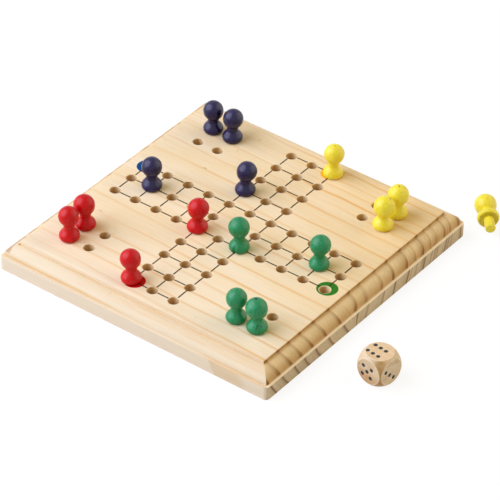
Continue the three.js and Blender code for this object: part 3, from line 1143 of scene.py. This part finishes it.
def die_wood_material():
    shader = Shader("beech_die")
    x, y, z = axes(shader.painted("timber"))
    warp = noise(x * 0.08, y * 0.08, z * 0.08, 1.0)
    # Growth rings round a pith that lies outside the die
    ring = length(vector(x * 0.15 + 4.0, y + 14.0, z + 12.0)) + warp * 3.0
    lines = noise(ring * 1.1, x * 0.03, 2.0, 2.0, 0.5)
    fibre = noise(x * 0.3, y * 2.6, z * 2.6, 3.0, 0.6)
    stain = noise(x * 0.22, y * 0.22, z * 0.5, 2.0)
    colour = mix(rise(lines, 0.4, 0.75) * 0.28, DIE_WOOD, DIE_LATE_WOOD)
    front = rise(y, -5.0, -7.0)
    # Painted shade: the die's front face grows darker and more orange towards the table.
    front_low_shade = front * rise(z, 2.0, -4.5)
    colour = mix(front * 0.8, colour, DIE_FRONT_WOOD)
    colour = mix(front_low_shade * 0.5, colour, DIE_LOW_SHADE_WOOD)
    colour = shade(colour, between(front_low_shade, 1.0, 0.93))
    colour = mix(front * rise(stain + z * -0.03, 0.5, 0.72) * 0.6, colour, DIE_STAIN)
    across = most(abs(x), abs(y), abs(z))
    on_ball = rise(across, DIE_SIDE / 2 - 0.05, DIE_SIDE / 2 - 0.45)
    corner = rise(calculate("MINIMUM", x, 0.0 - y), 1.5, 5.5)
    corner = corner * between(rise(stain, 0.3, 0.6), 0.65, 1.0)
    colour = mix(on_ball * corner * 0.78, colour, DIE_CORNER_WOOD)
    swirl = noise(x * 0.25 + z * 0.5, y * 0.3, z * 1.5 - x * 0.6, 3.0, 0.6)
    colour = mix(on_ball * rise(swirl, 0.5, 0.7) * 0.3, colour, DIE_SWIRL)
    left = rise(x + y * 0.4, 0.0, -5.0)
    colour = mix(on_ball * left * 0.4, colour, DIE_LEFT_WOOD)
    on_right = rise(x, DIE_SIDE / 2 - 0.3, DIE_SIDE / 2 - 0.1)
    rear_right = on_ball * rise(x, 3.0, 6.0) * rise(y, -2.5, 1.0)
    colour = mix(most(on_right, rear_right) * 0.4, colour, DIE_RIGHT_WOOD)
    slanting = noise((z + y * 0.15) * 0.75, y * 0.1, x * 0.2, 3.0, 0.65)
    colour = mix(on_right * rise(slanting, 0.47, 0.6) * 0.55, colour, DIE_STREAK)
    # Painted highlight: pale rims along the edges of the flat faces.
    colour = mix(face_edge_highlights(x, y, z) * 0.5, colour, DIE_EDGE_HIGHLIGHT_WOOD)
    colour = shade(colour, between(fibre, 0.93, 1.06))
    return shader.finish(colour, between(fibre, 0.42, 0.58), fibre, 0.04, DIE_SHINE)


def pip_material():
    shader = Shader("pip_black")
    x, y, z = axes(shader.painted("timber"))
    cloud = noise(x * 1.5, y * 1.5, z * 1.5, 2.0)
    colour = mix(cloud, PIP_INK, PIP_DUST)
    return shader.finish(colour, between(cloud, 0.4, 0.6), cloud, 0.04)


# Studio and camera

# The camera as fitted to the photograph's grid of holes, in holes' pitches and degrees
FOCAL_PIXELS = 3462.616
IMAGE_PIXELS = 500
SENSOR = 36
CAMERA_AZIMUTH = math.radians(36.549)
CAMERA_ELEVATION = math.radians(37.6076)
CAMERA_ROLL = math.radians(1.084)
CAMERA_DISTANCE = 131.6205
CAMERA_ASIDE = 0.5969
CAMERA_RAISED = -0.8995
LENS_REACH = 20  # metres

# Lights: sizes and distances in metres, power in watts
WORLD_LIGHT = 0.32
WORLD_COLOUR = (1, 0.86, 0.42, 1)
WHITE = (1, 1, 1, 1)
KEY_COLOUR = (0.92, 0.99, 1.23)
KEY_DIRECTION = Vector((-0.6, -0.48, 0.64)).normalized()
LIGHT_DISTANCE = 2.2
KEY_SIZE = 2.9
KEY_POWER = 69
FILL_DIRECTION = Vector((0.62, 0.64, 0.45)).normalized()
FILL_COLOUR = (1, 0.92, 0.78)
FILL_POWER = 26
FILL_SIZE = 2.9

# The floor, in millimetres
FLOOR_REACH = 2500
FLOOR_DROP = 0.02
FLOOR_GLOW = 0.86
FLOOR_SHADOW_SHARE = 0.16
PAPER_COLOUR = (0.85, 0.85, 0.85, 1)
PAPER_ROUGHNESS = 0.9


def set_camera():
    flat = Vector((math.sin(CAMERA_AZIMUTH), -math.cos(CAMERA_AZIMUTH), 0))
    back = flat * math.cos(CAMERA_ELEVATION) + Vector((0, 0, math.sin(CAMERA_ELEVATION)))
    level_right = Vector((math.cos(CAMERA_AZIMUTH), math.sin(CAMERA_AZIMUTH), 0))
    level_up = back.cross(level_right)
    right = level_right * math.cos(CAMERA_ROLL) + level_up * math.sin(CAMERA_ROLL)
    up = level_up * math.cos(CAMERA_ROLL) - level_right * math.sin(CAMERA_ROLL)
    place = right * CAMERA_ASIDE + up * CAMERA_RAISED + back * CAMERA_DISTANCE
    place = place * PITCH + Vector((0, 0, BOARD_TOP))
    lens = bpy.data.cameras.new("camera")
    lens.sensor_width = SENSOR
    lens.lens = FOCAL_PIXELS / IMAGE_PIXELS * SENSOR
    lens.clip_end = LENS_REACH
    camera = bpy.data.objects.new("camera", lens)
    turn = Matrix((right, up, back)).transposed().to_4x4()
    camera.matrix_world = Matrix.Translation(place * MM) @ turn
    bpy.context.scene.collection.objects.link(camera)
    bpy.context.scene.camera = camera


def add_softbox(name, direction, power, size, colour):
    light = bpy.data.lights.new(name, "AREA")
    light.energy = power
    light.color = colour
    light.shape = "DISK"
    light.size = size
    lamp = bpy.data.objects.new(name, light)
    lamp.location = direction * LIGHT_DISTANCE
    lamp.rotation_euler = direction.to_track_quat("Z", "Y").to_euler()
    bpy.context.scene.collection.objects.link(lamp)


def seen_directly(tree):
    """1 for rays that look at a surface as the camera does, also in a reflection."""
    rays = tree.nodes.new("ShaderNodeLightPath").outputs
    kinds = ("Is Camera Ray", "Is Glossy Ray", "Is Transmission Ray")
    return most(*[Value(tree, rays[kind]) for kind in kinds])


def set_world():
    """White where it is seen, and a weak warm light on what stands in it."""
    world = bpy.data.worlds.new("studio")
    world.use_nodes = True
    bpy.context.scene.world = world
    seen = seen_directly(world.node_tree)
    background = world.node_tree.nodes["Background"]
    fill(background.inputs["Color"], mix(seen, WORLD_COLOUR, WHITE))
    fill(background.inputs["Strength"], between(seen, WORLD_LIGHT, 1.0))


def floor_material():
    """White paper, lit so that the camera sees it as white and the object's shadow as faint."""
    shader = Shader("white_paper")
    shader.finish(PAPER_COLOUR, PAPER_ROUGHNESS, shine=0)
    tree = shader.tree
    paper = Value(tree, shader.surface.outputs[0])
    shown = node(tree, "BsdfDiffuse", {"Color": [FLOOR_SHADOW_SHARE] * 3 + [1]})
    glow = node(tree, "Emission", {"Strength": FLOOR_GLOW})
    both = node(tree, "AddShader", {0: shown, 1: glow})
    choice = node(tree, "MixShader", {0: seen_directly(tree), 1: paper, 2: both})
    fill(tree.nodes["Material Output"].inputs[0], choice)
    return shader.material


def add_floor():
    ends = ((-1, -1), (1, -1), (1, 1), (-1, 1))
    floor_corners = [(x * FLOOR_REACH, y * FLOOR_REACH, -FLOOR_DROP) for x, y in ends]
    floor = mesh_object("floor", floor_corners, [(0, 1, 2, 3)], [floor_material()])


set_camera()
bpy.context.scene.view_settings.view_transform = "Standard"
board = build_board(pine_material(), bore_material())
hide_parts("board")
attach(board, "board")
build_pegs()
build_die(die_wood_material(), pip_material())
set_world()
add_softbox("key", KEY_DIRECTION, KEY_POWER, KEY_SIZE, KEY_COLOUR)
add_softbox("fill", FILL_DIRECTION, FILL_POWER, FILL_SIZE, FILL_COLOUR)
add_floor()
